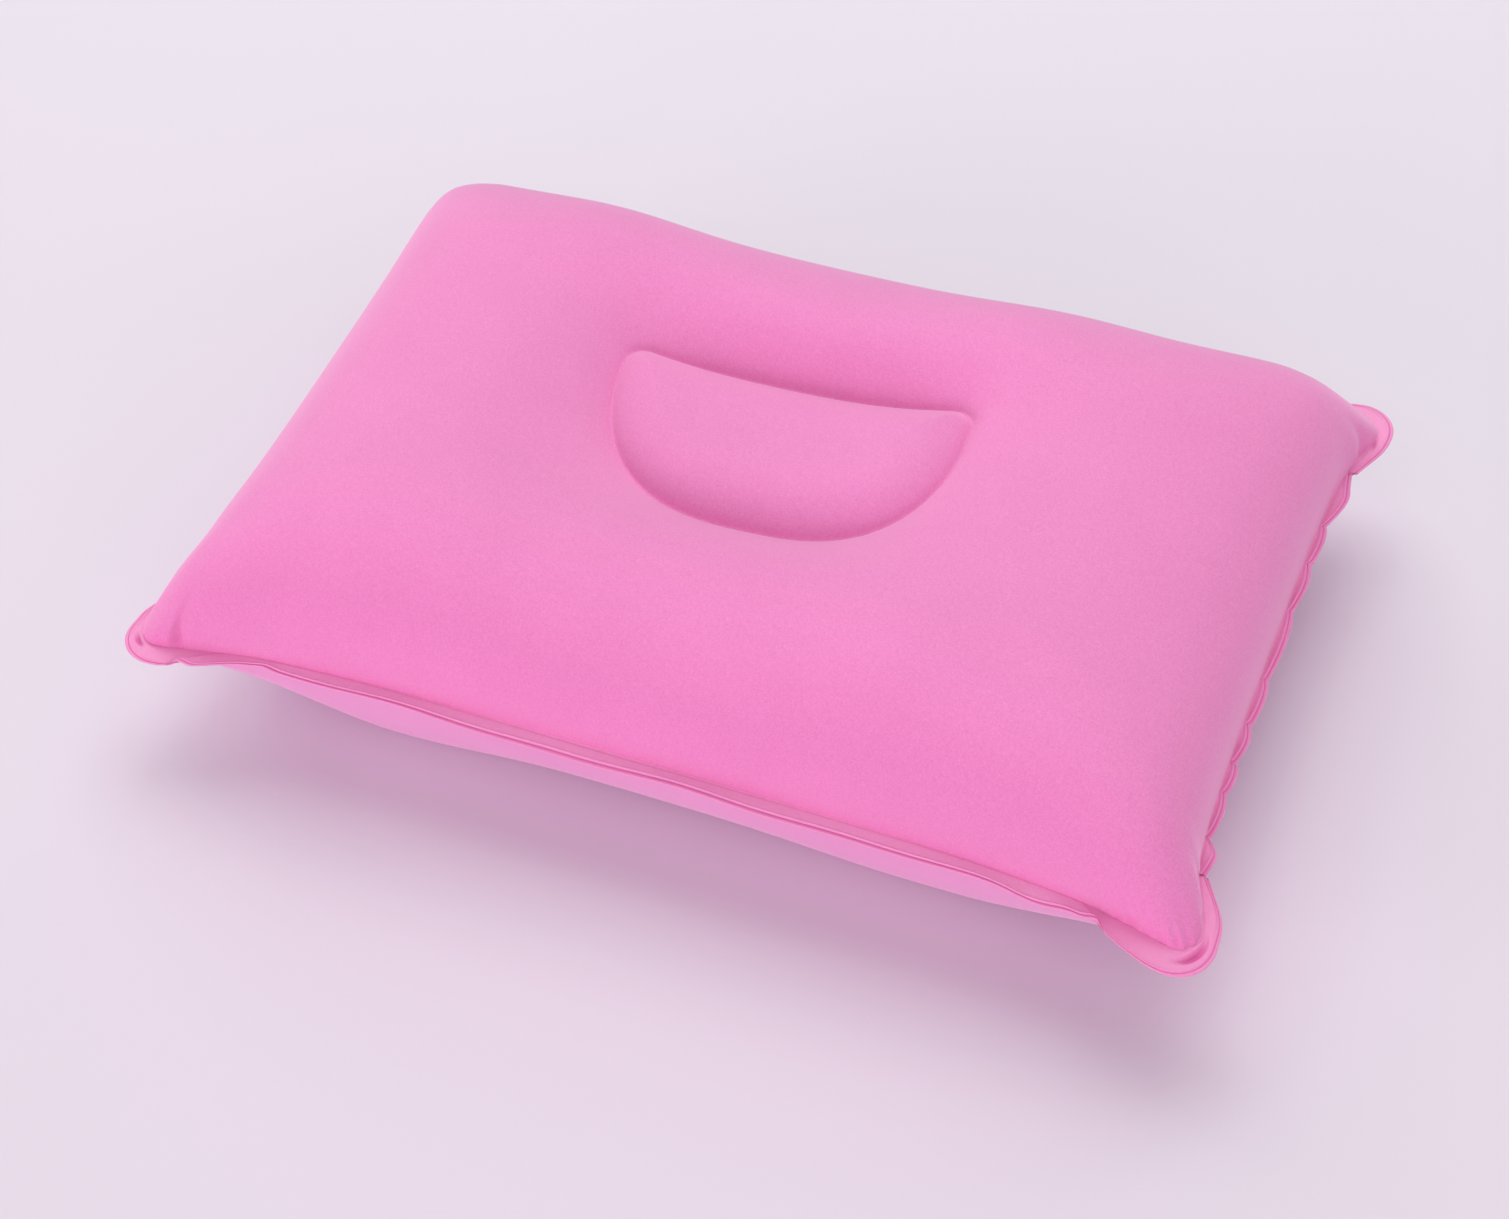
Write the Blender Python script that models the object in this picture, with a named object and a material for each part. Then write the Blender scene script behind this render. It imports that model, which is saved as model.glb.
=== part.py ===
"""Inflatable travel pillow: two flocked film sheets welded round the edge and blown up.

The pillow lies on its back.  X runs along its length, Y across it with the flat side of
the half-moon channel towards +Y, and Z is up from the surface it rests on.
"""
import bmesh
import bpy
import numpy as np

MM = 0.001

# the air chamber, measured from the middle of the pillow
CHAMBER_HALF_LENGTH = 198.8 * MM
CHAMBER_HALF_WIDTH = 119.3 * MM
CHAMBER_CORNER_LENGTH = 9.5 * MM
CHAMBER_CORNER_WIDTH = 12.0 * MM
CHAMBER_EAR_LENGTH = 2.5 * MM
CHAMBER_EAR_WIDTH = 3.0 * MM
CHAMBER_CORNER_RADIUS = 13.0 * MM
CROWN_HEIGHT = 54.5 * MM
CROWN_DOME = 1.5 * MM
LOBE_RISE = 4.0 * MM
LOBE_OUT = 112.0 * MM
LOBE_SPREAD = 42.0 * MM
CROWN_REACH = 66.0 * MM
CROWN_FULLNESS = 2.7
SIDE_BULGE = 3.0 * MM
UPPER_TAPER = (50.0 * MM, 2.0)
LOWER_TAPER = (95.0 * MM, 1.6)
FLAT_UNDERSIDE = 2.5 * MM

# the half-moon channel, sunk in both faces
MOON_CENTRE_X = -2.0 * MM
MOON_FLAT_SIDE_Y = 43.5 * MM
MOON_SKEW = 0.038
MOON_LEAN = 0.11
MOON_HALF_LENGTH = 72.0 * MM
MOON_DEPTH_ACROSS = 74.5 * MM
MOON_ROUNDNESS = 2.8
MOON_TIP_RADIUS = 10.0 * MM
CHANNEL_DEPTH = 22.0 * MM
CHANNEL_DEPTH_AT_TIPS = 13.0 * MM
CHANNEL_OUTER_REACH = 28.0 * MM
ISLAND_RISE = 9.0 * MM
ISLAND_REACH = 28.0 * MM

# the welded rim that stands out round the chamber
RIM_GAP = 0.45 * MM
RIM_THICKNESS = 1.2 * MM
RIM_HALF_LENGTH = 204.6 * MM
RIM_HALF_WIDTH = 128.3 * MM
RIM_CORNER_LENGTH = 3.0 * MM
RIM_CORNER_WIDTH = 3.5 * MM
RIM_EAR_LENGTH = 11.0 * MM
RIM_EAR_WIDTH = 11.5 * MM
RIM_CORNER_RADIUS = 16.0 * MM
SCALLOPS = 9
SCALLOP_DEPTH = 1.6 * MM
SCALLOP_LIFT = 1.8 * MM

# where the sides flare out again into ears
EAR_START_X = 162.0 * MM
EAR_RUN_X = 42.0 * MM
EAR_START_Y = 92.0 * MM
EAR_RUN_Y = 30.0 * MM

SPOKES = 108
RIM_STEPS = 208


def clear_scene():
    for item in list(bpy.data.objects):
        bpy.data.objects.remove(item, do_unlink=True)


def s_curve(share):
    share = np.clip(share, 0.0, 1.0)
    return share * share * (3.0 - 2.0 * share)


def edge_gap(x, y, half_length, half_width, corner_length, corner_width,
             ear_length, ear_width, radius):
    """Distance in from a rectangle with drawn-in sides, flared ears and rounded corners."""
    across = np.abs(y) / (half_width + corner_width + ear_width)
    along = np.abs(x) / (half_length + corner_length + ear_length)
    flare_x = ear_length * s_curve((np.abs(y) - EAR_START_Y) / EAR_RUN_Y)
    flare_y = ear_width * s_curve((np.abs(x) - EAR_START_X) / EAR_RUN_X)
    gap_x = half_length + corner_length * across ** 4 + flare_x - np.abs(x)
    gap_y = half_width + corner_width * along ** 4 + flare_y - np.abs(y)
    cut_x = np.maximum(radius - gap_x, 0.0)
    cut_y = np.maximum(radius - gap_y, 0.0)
    gap = np.maximum(np.minimum(gap_x, gap_y), radius) - np.hypot(cut_x, cut_y)
    return gap, gap_x, gap_y


def chamber_gap(x, y):
    return edge_gap(x, y, CHAMBER_HALF_LENGTH, CHAMBER_HALF_WIDTH, CHAMBER_CORNER_LENGTH,
                    CHAMBER_CORNER_WIDTH, CHAMBER_EAR_LENGTH, CHAMBER_EAR_WIDTH,
                    CHAMBER_CORNER_RADIUS)


def rim_gap(x, y):
    return edge_gap(x, y, RIM_HALF_LENGTH, RIM_HALF_WIDTH, RIM_CORNER_LENGTH,
                    RIM_CORNER_WIDTH, RIM_EAR_LENGTH, RIM_EAR_WIDTH, RIM_CORNER_RADIUS)


def moon_gap(x, y):
    """Distance outside the half-moon line, negative on the island inside it."""
    y = y - MOON_SKEW * (x - MOON_CENTRE_X)
    u = np.abs(x - MOON_CENTRE_X - MOON_LEAN * (MOON_FLAT_SIDE_Y - y)) + 1e-6
    v = np.abs(y - MOON_FLAT_SIDE_Y) + 1e-6
    a = MOON_HALF_LENGTH
    b = MOON_DEPTH_ACROSS
    n = MOON_ROUNDNESS
    size = ((u / a) ** n + (v / b) ** n) ** (1.0 / n)
    slope = size ** (1.0 - n) * np.hypot(u ** (n - 1) / a ** n, v ** (n - 1) / b ** n)
    round_side = (size - 1.0) / np.maximum(slope, 0.7 / a)
    flat_side = y - MOON_FLAT_SIDE_Y
    r = MOON_TIP_RADIUS
    corner = np.hypot(np.maximum(round_side + r, 0.0), np.maximum(flat_side + r, 0.0)) - r
    return np.where(np.maximum(round_side, flat_side) > -r, corner,
                    np.maximum(round_side, flat_side))


def edge_rise(gap):
    """Share of the crown height reached at a distance in from the weld."""
    left = 1.0 - np.clip(gap / CROWN_REACH, 0.0, 1.0)
    return (1.0 - left ** CROWN_FULLNESS) ** (1.0 / CROWN_FULLNESS)


def ease(distance, reach, power):
    return 1.0 - (1.0 - np.clip(distance / reach, 0.0, 1.0)) ** power


def crown(x, y, side):
    """Height of one face of the chamber from the weld plane."""
    gap, gap_x, gap_y = chamber_gap(x, y)
    inward_x = np.clip(gap_x / CHAMBER_HALF_LENGTH, 0.0, 1.0)
    inward_y = np.clip(gap_y / CHAMBER_HALF_WIDTH, 0.0, 1.0)
    lobe = np.exp(-((np.abs(x) - LOBE_OUT) / LOBE_SPREAD) ** 2)
    domed = CROWN_HEIGHT + CROWN_DOME * inward_x * inward_y + LOBE_RISE * lobe
    height = domed * edge_rise(gap) * edge_rise(np.maximum(gap_x, gap_y))
    height = height * ease(gap_x + gap_y, *(UPPER_TAPER if side > 0.0 else LOWER_TAPER))
    line = moon_gap(x, y)
    end = np.clip(np.abs(x - MOON_CENTRE_X) / MOON_HALF_LENGTH, 0.0, 1.2) ** 2
    depth = CHANNEL_DEPTH + (CHANNEL_DEPTH_AT_TIPS - CHANNEL_DEPTH) * end
    outside = depth * (1.0 - ease(line, CHANNEL_OUTER_REACH, 2.7))
    island = depth - ISLAND_RISE * ease(-line, ISLAND_REACH, 2.4)
    return np.maximum(height - np.where(line > 0.0, outside, island), 0.0)


def outline(gap_function, count, density=None):
    """Points round the zero line of a gap function, spaced by a density of the angle."""
    turn = np.linspace(0.0, 2.0 * np.pi, 1441)
    near = np.zeros_like(turn)
    far = np.full_like(turn, 0.4)
    for _ in range(40):
        middle = 0.5 * (near + far)
        inside = gap_function(middle * np.cos(turn), middle * np.sin(turn))[0] > 0.0
        near = np.where(inside, middle, near)
        far = np.where(inside, far, middle)
    x = near * np.cos(turn)
    y = near * np.sin(turn)
    step = np.hypot(np.diff(x), np.diff(y))
    if density is not None:
        step = step * density(0.5 * (x[1:] + x[:-1]), 0.5 * (y[1:] + y[:-1]))
    run = np.concatenate([[0.0], np.cumsum(step)])
    place = np.arange(count) * run[-1] / count
    return np.interp(place, run, x), np.interp(place, run, y)


def moon_points(x, y):
    """Where the line from each rim point to the island middle crosses the half-moon."""
    centre_x = MOON_CENTRE_X
    centre_y = MOON_FLAT_SIDE_Y - 0.48 * MOON_DEPTH_ACROSS
    near = np.zeros_like(x)
    far = np.ones_like(x)
    for _ in range(40):
        middle = 0.5 * (near + far)
        line = moon_gap(centre_x + middle * (x - centre_x), centre_y + middle * (y - centre_y))
        near = np.where(line < 0.0, middle, near)
        far = np.where(line < 0.0, far, middle)
    return centre_x + near * (x - centre_x), centre_y + near * (y - centre_y)


def corner_density(x, y):
    at_corner = (np.abs(x) > 0.9 * CHAMBER_HALF_LENGTH) & (np.abs(y) > 0.85 * CHAMBER_HALF_WIDTH)
    return np.where(at_corner, 2.0, 1.0)


def place_rings():
    """Plan positions of the rings of points, from the weld in to the island middle."""
    edge_x, edge_y = outline(chamber_gap, SPOKES, corner_density)
    moon_x, moon_y = moon_points(edge_x, edge_y)
    length = np.hypot(edge_x - moon_x, edge_y - moon_y)
    from_edge = np.array([0.0, 0.35, 1.6, 3.8, 7.2, 12.0, 18.5, 27.0, 38.0]) * MM
    from_moon = np.array([17.0, 9.0, 4.0, 0.0]) * MM
    shares = [reach / length for reach in from_edge]
    first = from_edge[-1] / length
    last = 1.0 - from_moon[0] / length
    shares += [first + (last - first) * part for part in (0.33, 0.67)]
    shares += [1.0 - reach / length for reach in from_moon]
    rings = [(edge_x + (moon_x - edge_x) * s, edge_y + (moon_y - edge_y) * s) for s in shares]
    centre_x = MOON_CENTRE_X
    centre_y = MOON_FLAT_SIDE_Y - 0.48 * MOON_DEPTH_ACROSS
    for keep in (0.9, 0.72, 0.42):
        rings.append((centre_x + (moon_x - centre_x) * keep, centre_y + (moon_y - centre_y) * keep))
    return rings, (centre_x, centre_y)


def bulged(x, y, height):
    """Moves the side walls outwards at half height, so that they stand fuller."""
    gap = chamber_gap(x, y)[0]
    small = 0.5 * MM
    slope_x = (chamber_gap(x + small, y)[0] - chamber_gap(x - small, y)[0]) / (2.0 * small)
    slope_y = (chamber_gap(x, y + small)[0] - chamber_gap(x, y - small)[0]) / (2.0 * small)
    share = np.clip(height / CROWN_HEIGHT, 0.0, 1.0)
    push = SIDE_BULGE * 4.0 * share * (1.0 - share) * np.exp(-np.maximum(gap, 0.0) / (14.0 * MM))
    return x - push * slope_x, y - push * slope_y


def face_ring(x, y, side):
    height = crown(x, y, side)
    wide_x, wide_y = bulged(x, y, height)
    return wide_x, wide_y, np.maximum(side * height, FLAT_UNDERSIDE - CROWN_HEIGHT)


def bridge(mesh, first, second):
    count = len(first)
    for i in range(count):
        j = (i + 1) % count
        mesh.faces.new((first[i], first[j], second[j], second[i]))


def new_object(name, mesh, material, collection):
    bmesh.ops.triangulate(mesh, faces=list(mesh.faces))
    bmesh.ops.recalc_face_normals(mesh, faces=list(mesh.faces))
    data = bpy.data.meshes.new(name)
    mesh.to_mesh(data)
    mesh.free()
    data.materials.append(material)
    item = bpy.data.objects.new(name, data)
    collection.objects.link(item)
    return item


def build_chamber(material, collection):
    rings, centre = place_rings()
    mesh = bmesh.new()
    base = FLAT_UNDERSIDE - CROWN_HEIGHT
    weld_x, weld_y = rings[0]
    weld = [mesh.verts.new((a, b, -base)) for a, b in zip(weld_x, weld_y)]
    for side in (1.0, -1.0):
        last = weld
        for ring_x, ring_y in rings[1:]:
            x, y, z = face_ring(ring_x, ring_y, side)
            ring = [mesh.verts.new((a, b, c - base)) for a, b, c in zip(x, y, z)]
            bridge(mesh, last, ring)
            last = ring
        x, y, z = face_ring(np.array([centre[0]]), np.array([centre[1]]), side)
        middle = mesh.verts.new((x[0], y[0], z[0] - base))
        for i in range(len(last)):
            mesh.faces.new((last[i], last[(i + 1) % len(last)], middle))
    return new_object("air_chamber", mesh, material, collection)


def scallop_wave(x, y):
    """Zero at the cusps and one at the crest of the scallops on the two short sides."""
    reach = 100.0 * MM
    along = (y + reach) / (2.0 * reach)
    warped = along + 0.035 * np.sin(2.0 * np.pi * along) + 0.02 * np.sin(6.0 * np.pi * along + 1.0)
    wave = np.abs(np.sin(np.pi * SCALLOPS * warped))
    on_side = (np.abs(x) > RIM_HALF_LENGTH - 12.0 * MM) & (np.abs(y) < reach)
    return np.where(on_side, wave, 1.0), on_side


def rim_density(x, y):
    return np.where(np.abs(x) > 0.93 * RIM_HALF_LENGTH, 2.6, 1.0)


def build_rim(material, collection):
    outer_x, outer_y = outline(rim_gap, RIM_STEPS, rim_density)
    wave, on_side = scallop_wave(outer_x, outer_y)
    outer_x = outer_x - np.sign(outer_x) * SCALLOP_DEPTH * (1.0 - wave)
    near = np.zeros_like(outer_x)
    far = np.ones_like(outer_x)
    for _ in range(40):
        middle = 0.5 * (near + far)
        clear = chamber_gap(outer_x * middle, outer_y * middle)[0] > -RIM_GAP
        near = np.where(clear, middle, near)
        far = np.where(clear, far, middle)
    inner_x = outer_x * far
    inner_y = outer_y * far
    base = FLAT_UNDERSIDE - CROWN_HEIGHT
    lift = np.where(on_side, SCALLOP_LIFT * (wave - 0.5), 0.0)
    inner_z = np.zeros_like(inner_x) - base
    outer_z = lift - base
    half = 0.5 * RIM_THICKNESS
    mesh = bmesh.new()
    loops = []
    for x, y, z in ((inner_x, inner_y, inner_z - half), (outer_x, outer_y, outer_z - half),
                    (outer_x, outer_y, outer_z + half), (inner_x, inner_y, inner_z + half)):
        loops.append([mesh.verts.new(point) for point in zip(x, y, z)])
    for k in range(4):
        bridge(mesh, loops[k], loops[(k + 1) % 4])
    return new_object("welded_rim", mesh, material, collection)


def make_material(name, colour, roughness):
    material = bpy.data.materials.new(name)
    material.use_nodes = True
    shader = material.node_tree.nodes["Principled BSDF"]
    shader.inputs["Base Color"].default_value = (*colour, 1.0)
    shader.inputs["Roughness"].default_value = roughness
    shader.inputs["Metallic"].default_value = 0.0
    return material


def main():
    clear_scene()
    collection = bpy.data.collections.new("inflatable_travel_pillow")
    bpy.context.scene.collection.children.link(collection)
    flocked = make_material("flocked_film", (0.905, 0.279, 0.597), 0.92)
    welded = make_material("welded_film", (0.879, 0.242, 0.546), 0.55)
    build_chamber(flocked, collection)
    build_rim(welded, collection)


main()
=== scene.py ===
import bpy
import numpy as np
from mathutils import Matrix


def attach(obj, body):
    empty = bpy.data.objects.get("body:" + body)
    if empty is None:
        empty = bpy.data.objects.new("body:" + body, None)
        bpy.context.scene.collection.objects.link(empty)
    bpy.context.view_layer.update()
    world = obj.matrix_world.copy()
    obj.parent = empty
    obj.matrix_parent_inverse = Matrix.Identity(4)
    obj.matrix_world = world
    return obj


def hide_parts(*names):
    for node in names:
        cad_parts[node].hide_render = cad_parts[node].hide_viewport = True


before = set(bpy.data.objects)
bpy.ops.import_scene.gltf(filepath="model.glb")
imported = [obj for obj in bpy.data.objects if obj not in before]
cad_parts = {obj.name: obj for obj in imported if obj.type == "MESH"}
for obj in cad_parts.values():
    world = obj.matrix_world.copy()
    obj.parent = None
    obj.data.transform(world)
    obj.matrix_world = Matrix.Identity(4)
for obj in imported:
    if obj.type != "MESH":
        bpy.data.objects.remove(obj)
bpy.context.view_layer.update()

# every size below is in metres unless it says otherwise
MM = 0.001

# the weld plane stands this high when the pillow lies on its back
WELD_HEIGHT = 52.0 * MM

# chamber outline: half sizes at the middle of the sides, its shift to the right, how far
# the sides bow out toward the corners, how far the ears flare past that, and the rounding
CHAMBER_HALF = (199.2 * MM, 120.1 * MM)
CHAMBER_SHIFT = 0.7 * MM
CHAMBER_CORNER = (9.5 * MM, 12.0 * MM)
CHAMBER_EAR = (3.0 * MM, 1.3 * MM)
CHAMBER_CORNER_RADIUS = 12.0 * MM

# rim outline, in the same terms
RIM_HALF = (204.6 * MM, 127.6 * MM)
RIM_CORNER = (3.0 * MM, 3.5 * MM)
RIM_EAR = (11.0 * MM, 11.5 * MM)
RIM_CORNER_RADIUS = 16.0 * MM

# the ears' tips, by which the weld's lift is scaled
EAR_TIP = (214.0 * MM, 139.0 * MM)

# where the ears begin to flare, along the long sides and along the ends, and over what run
EAR_START = (162.0 * MM, 92.0 * MM)
EAR_RUN = (42.0 * MM, 30.0 * MM)

# crown of each face: height over the weld, rise of the dome, run of the climb in from the
# weld, and the power of the climb's superellipse
CROWN_HEIGHT = 54.5 * MM
CROWN_DOME = 1.5 * MM
CROWN_REACH = 66.0 * MM
CROWN_FULLNESS = 2.7
# the two lobes either side of the half-moon, left and right: rise, distance out, spread
LOBE_RISE = (8.5 * MM, 6.0 * MM)
LOBE_OUT = (108.0 * MM, 88.0 * MM)
LOBE_SPREAD = 42.0 * MM
# how far the walls bulge at half height, and how fast that dies out in from the weld
SIDE_BULGE = 0.5 * MM
SIDE_BULGE_REACH = 14.0 * MM

# how far the weld stands off its level in the near left, near right, far right and far
# left ears, since no blown-up pillow lies quite even
EAR_LIFT = (4.0 * MM, -1.0 * MM, -2.5 * MM, -2.5 * MM)
# size of the rim's and the chamber's ears in the same order, as a share of the flare
RIM_EAR_SIZE = (1.05, 1.12, 0.8, 0.8)
CHAMBER_EAR_SIZE = (2.2, 1.7, 1.0, 1.4)
# taper into the corners, on the upper and the lower face: run and power
UPPER_TAPER = (50.0 * MM, 2.0)
LOWER_TAPER = (95.0 * MM, 1.6)

# half-moon: middle of its flat side, slopes that turn it and lean its round side, half
# length, reach across, power of its superellipse, rounding of its tips, and the least slope
# that its distance is divided by, near its middle
MOON_CENTRE_X = -2.0 * MM
MOON_FLAT_SIDE_Y = 43.5 * MM
MOON_SKEW = 0.038
MOON_LEAN = 0.11
MOON_HALF_LENGTH = 72.0 * MM
MOON_ACROSS = 74.5 * MM
MOON_ROUNDNESS = 2.8
MOON_TIP_RADIUS = 10.0 * MM
MOON_LEAST_SLOPE = 0.7
# the line along the island's middle, as a share of the reach across
MOON_MIDDLE_SHARE = 0.48
MOON_MIDDLE_Y = MOON_FLAT_SIDE_Y - MOON_MIDDLE_SHARE * MOON_ACROSS

# channel along the half-moon line: depth and reach at the middle and at the left and right
# tips, and the power by which its outer bank eases off
CHANNEL_DEPTH = 21.0 * MM
CHANNEL_DEPTH_AT_TIPS = (17.5 * MM, 15.0 * MM)
CHANNEL_REACH = 34.0 * MM
CHANNEL_REACH_AT_TIPS = (62.0 * MM, 52.0 * MM)
CHANNEL_EASE = 2.2
# the line itself is pressed in a little more: depth and half width
MOON_GROOVE = (0.9 * MM, 1.2 * MM)
# island inside it: rise from the line, the most of the channel's depth that it may win
# back, reach and power of the rise
ISLAND_RISE = 11.5 * MM
ISLAND_DEPTH_SHARE = 0.85
ISLAND_REACH = 27.0 * MM
ISLAND_EASE = 2.6

# points round the chamber and round the rim
SPOKES = 288
RIM_STEPS = 1400
# how outlines are found: rays, how far they reach, halvings, and step for a slope
OUTLINE_RAYS = 2881
OUTLINE_REACH = 0.4
HALVINGS = 40
SLOPE_STEP = 0.5 * MM


# ---------------------------------------------------------------- outline and crown

def s_curve(share):
    """Rises from zero to one with level ends: three squares less two cubes."""
    share = np.clip(share, 0.0, 1.0)
    return share * share * (3.0 - 2.0 * share)


def bell(value, middle, width):
    """One at the middle, dying away on both sides: e to the power of minus the square of
    the distance in widths."""
    return np.exp(-((value - middle) / width) ** 2)


def by_corner(x, y, values):
    """The value for the corner that a point is nearest: near left, near right, far right,
    far left."""
    near = np.where(x < 0.0, values[0], values[1])
    far = np.where(x < 0.0, values[3], values[2])
    return np.where(y < 0.0, near, far)


def edge_gap(x, y, half, corner, ear, size, radius):
    """Distance in from a rectangle whose sides bow in by the fourth power of the way along
    and flare out again into ears by an s-curve, with the corners rounded off; also the
    plain gaps to the end and to the long side."""
    across = np.abs(y) / (half[1] + corner[1] + ear[1])
    along = np.abs(x) / (half[0] + corner[0] + ear[0])
    size = by_corner(x, y, size)
    flare_x = size * ear[0] * s_curve((np.abs(y) - EAR_START[1]) / EAR_RUN[1])
    flare_y = size * ear[1] * s_curve((np.abs(x) - EAR_START[0]) / EAR_RUN[0])
    gap_x = half[0] + corner[0] * across ** 4 + flare_x - np.abs(x)
    gap_y = half[1] + corner[1] * along ** 4 + flare_y - np.abs(y)
    cut_x = np.maximum(radius - gap_x, 0.0)
    cut_y = np.maximum(radius - gap_y, 0.0)
    gap = np.maximum(np.minimum(gap_x, gap_y), radius) - np.hypot(cut_x, cut_y)
    return gap, gap_x, gap_y


def chamber_gap(x, y):
    """Distances in from the chamber's outline: the edge gap of its own sizes, shifted."""
    return edge_gap(x - CHAMBER_SHIFT, y, CHAMBER_HALF, CHAMBER_CORNER, CHAMBER_EAR,
                    CHAMBER_EAR_SIZE, CHAMBER_CORNER_RADIUS)


def rim_gap(x, y):
    """Distances in from the rim's outline: the edge gap of its own sizes."""
    return edge_gap(x, y, RIM_HALF, RIM_CORNER, RIM_EAR, RIM_EAR_SIZE, RIM_CORNER_RADIUS)


def moon_gap(x, y):
    """Distance outside the half-moon: the larger of the distance past the round side,
    which is a superellipse's size less one over its slope, and that past the flat side,
    rounded off by a radius where the two meet."""
    y = y - MOON_SKEW * (x - MOON_CENTRE_X)
    u = np.abs(x - MOON_CENTRE_X - MOON_LEAN * (MOON_FLAT_SIDE_Y - y)) + 1e-6
    v = np.abs(y - MOON_FLAT_SIDE_Y) + 1e-6
    a, b, n = MOON_HALF_LENGTH, MOON_ACROSS, MOON_ROUNDNESS
    size = ((u / a) ** n + (v / b) ** n) ** (1.0 / n)
    slope = size ** (1.0 - n) * np.hypot(u ** (n - 1) / a ** n, v ** (n - 1) / b ** n)
    round_side = (size - 1.0) / np.maximum(slope, MOON_LEAST_SLOPE / a)
    flat_side = y - MOON_FLAT_SIDE_Y
    r = MOON_TIP_RADIUS
    corner = np.hypot(np.maximum(round_side + r, 0.0), np.maximum(flat_side + r, 0.0)) - r
    outer = np.maximum(round_side, flat_side)
    return np.where(outer > -r, corner, outer)


def edge_rise(gap):
    """Share of the full height at a distance in from the weld: a quarter superellipse,
    upright at the weld and level at the reach."""
    left = 1.0 - np.clip(gap / CROWN_REACH, 0.0, 1.0)
    return (1.0 - left ** CROWN_FULLNESS) ** (1.0 / CROWN_FULLNESS)


def ease(distance, reach, power):
    """Zero at the start and one at the reach: one less a power of the share that is
    left to go."""
    return 1.0 - (1.0 - np.clip(distance / reach, 0.0, 1.0)) ** power


def crown(x, y, side):
    """Height of one face: a dome with a bell for each of two lobes, times the rise in
    from the weld and from the further pair of sides, times a taper into the corners, less
    the channel outside the half-moon line, the island's drop inside it and a bell for the
    line itself. Depth and reach go over to those of the tips with the square of the way
    out. The lower face is thinner at the corners than the upper."""
    gap, gap_x, gap_y = chamber_gap(x, y)
    inward = np.clip(gap_x / CHAMBER_HALF[0], 0, 1) * np.clip(gap_y / CHAMBER_HALF[1], 0, 1)
    left = x < 0.0
    lobe = bell(np.abs(x), np.where(left, *LOBE_OUT), LOBE_SPREAD)
    lobe = lobe * np.where(left, *LOBE_RISE)
    height = CROWN_HEIGHT + CROWN_DOME * inward + lobe
    height = height * edge_rise(gap) * edge_rise(np.maximum(gap_x, gap_y))
    height = height * ease(gap_x + gap_y, *(UPPER_TAPER if side > 0.0 else LOWER_TAPER))
    line = moon_gap(x, y)
    end = np.clip(np.abs(x - MOON_CENTRE_X) / MOON_HALF_LENGTH, 0.0, 1.2) ** 2
    left = x < MOON_CENTRE_X
    depth = CHANNEL_DEPTH + (np.where(left, *CHANNEL_DEPTH_AT_TIPS) - CHANNEL_DEPTH) * end
    reach = CHANNEL_REACH + (np.where(left, *CHANNEL_REACH_AT_TIPS) - CHANNEL_REACH) * end
    outside = depth * (1.0 - ease(line, reach, CHANNEL_EASE))
    rise = np.minimum(ISLAND_RISE, ISLAND_DEPTH_SHARE * depth)
    island = depth - rise * ease(-line, ISLAND_REACH, ISLAND_EASE)
    groove = MOON_GROOVE[0] * bell(line, 0.0, MOON_GROOVE[1])
    return np.maximum(height - np.where(line > 0.0, outside, island) - groove, 0.0)


def weld_plane(x, y):
    """Height of the weld: level along the sides, with a share of each ear's own lift that
    grows as the fourth power of the way into that corner."""
    corner = np.clip(np.abs(x * y) / (EAR_TIP[0] * EAR_TIP[1]), 0.0, 1.1) ** 4
    return WELD_HEIGHT + corner * by_corner(x, y, EAR_LIFT)


def gap_slope(gap_function, x, y):
    """Direction straight in from an outline, by central differences."""
    d = SLOPE_STEP
    sx = (gap_function(x + d, y)[0] - gap_function(x - d, y)[0]) / (2.0 * d)
    sy = (gap_function(x, y + d)[0] - gap_function(x, y - d)[0]) / (2.0 * d)
    return sx, sy


def last_inside(is_inside, count, reach=1.0):
    """How far along each of a number of lines a test holds, up to the reach: the span
    between the last place inside and the first outside is halved each time."""
    near, far = np.zeros(count), np.full(count, reach)
    for _ in range(HALVINGS):
        middle = 0.5 * (near + far)
        inside = is_inside(middle)
        near, far = np.where(inside, middle, near), np.where(inside, far, middle)
    return near


def outline(gap_function, count, density):
    """Points round the zero line of a gap function: where each of a full turn of rays
    crosses it, then even steps of length times density."""
    turn = np.linspace(0.0, 2.0 * np.pi, OUTLINE_RAYS)
    out = last_inside(lambda r: gap_function(r * np.cos(turn), r * np.sin(turn))[0] > 0.0,
                      OUTLINE_RAYS, OUTLINE_REACH)
    x, y = out * np.cos(turn), out * np.sin(turn)
    step = np.hypot(np.diff(x), np.diff(y))
    step = step * density(0.5 * (x[1:] + x[:-1]), 0.5 * (y[1:] + y[:-1]))
    run = np.concatenate([[0.0], np.cumsum(step)])
    place = np.arange(count) * run[-1] / count
    return np.interp(place, run, x), np.interp(place, run, y)


# shares of the half sizes past which a corner begins, and how closely it is set with
# points, in the order of the ears
CORNER_FROM = (0.88, 0.8)
CORNER_CLOSENESS = (2.5, 4.5, 2.0, 2.0)


def corner_density(x, y):
    """How closely points are set: two and a half times as close in the near left corner,
    four and a half in the puckered near right one, twice in the far ones, once between."""
    far_along = np.abs(x) > CORNER_FROM[0] * CHAMBER_HALF[0]
    far_across = np.abs(y) > CORNER_FROM[1] * CHAMBER_HALF[1]
    return np.where(far_along & far_across, by_corner(x, y, CORNER_CLOSENESS), 1.0)


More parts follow.
